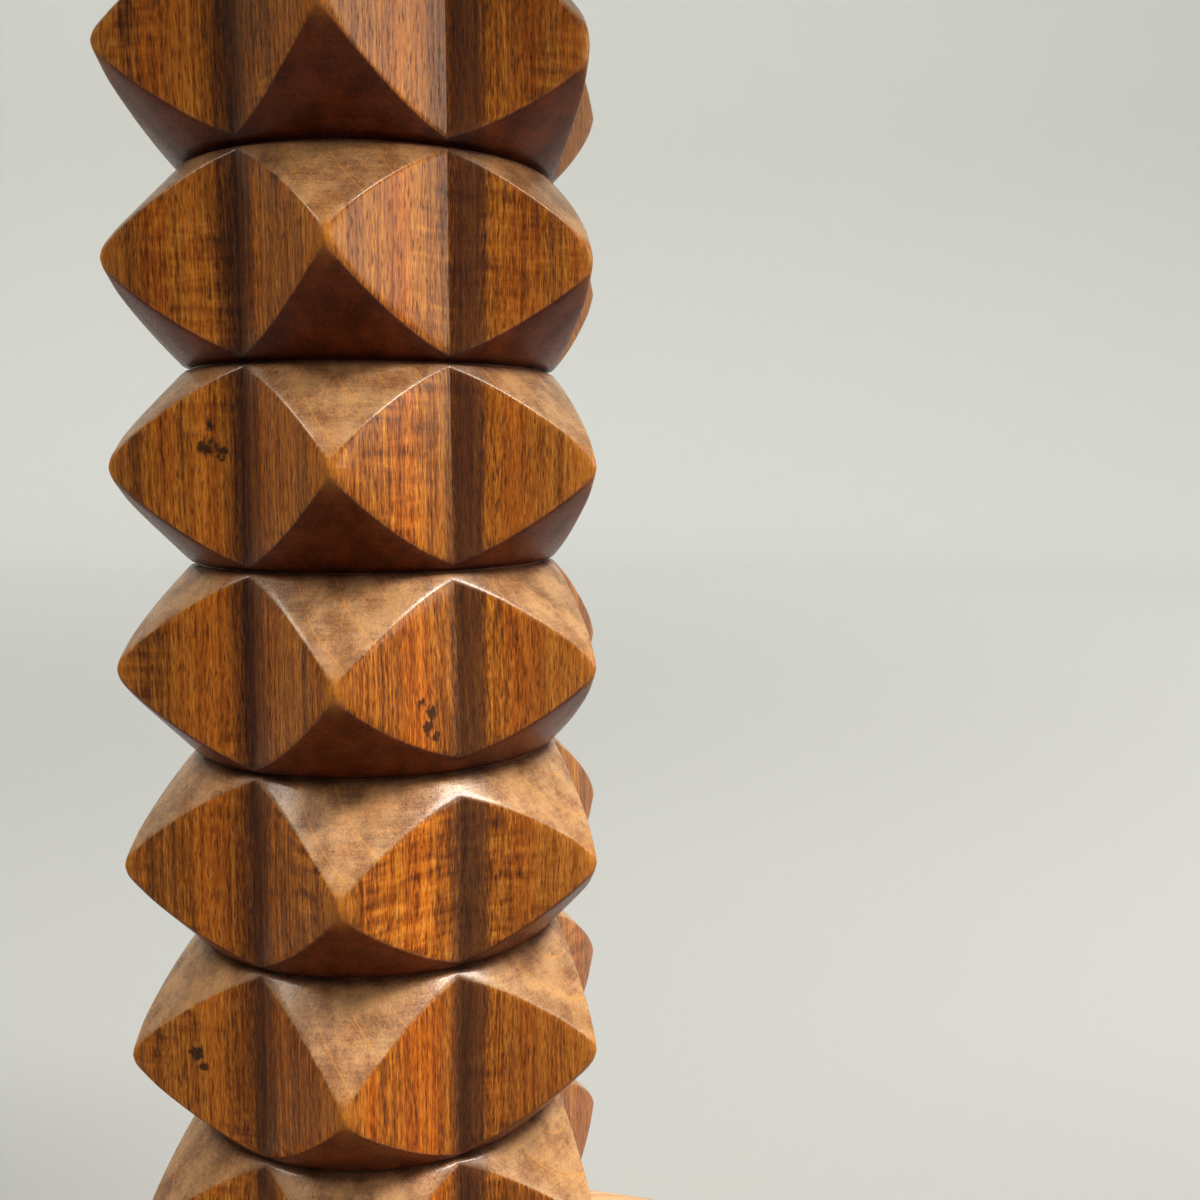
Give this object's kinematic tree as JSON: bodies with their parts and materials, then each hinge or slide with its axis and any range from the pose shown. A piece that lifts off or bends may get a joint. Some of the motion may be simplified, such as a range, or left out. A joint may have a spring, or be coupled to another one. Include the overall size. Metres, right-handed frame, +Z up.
{
  "type": "headrest",
  "caption": "Carved wooden headrest: a curved cradle for the head or neck on a turned and faceted column, tenoned into an oval foot that stands on a flat surface.",
  "frame": {"origin": "centre of the foot's underside, on the surface that the headrest stands on", "axes": "+Z up along the column, X along the cradle from tip to tip, Y across it; a ridge of the column looks along -Y"},
  "size_m": [0.17, 0.084, 0.2146],
  "materials": {
    "foot_wood": "satin",
    "column_wood": "satin",
    "collar_wood": "satin",
    "cradle_wood": "satin",
    "peg_wood": "satin"
  },
  "bodies": {
    "root": {"base": "foot_wood", "column": "column_wood", "neck_collar": "collar_wood", "cradle": "cradle_wood", "foot_wedge": "peg_wood", "saddle_wedge": "peg_wood", "cradle_dowels": "peg_wood", "neck_peg": "peg_wood"}
  },
  "joints": []
}
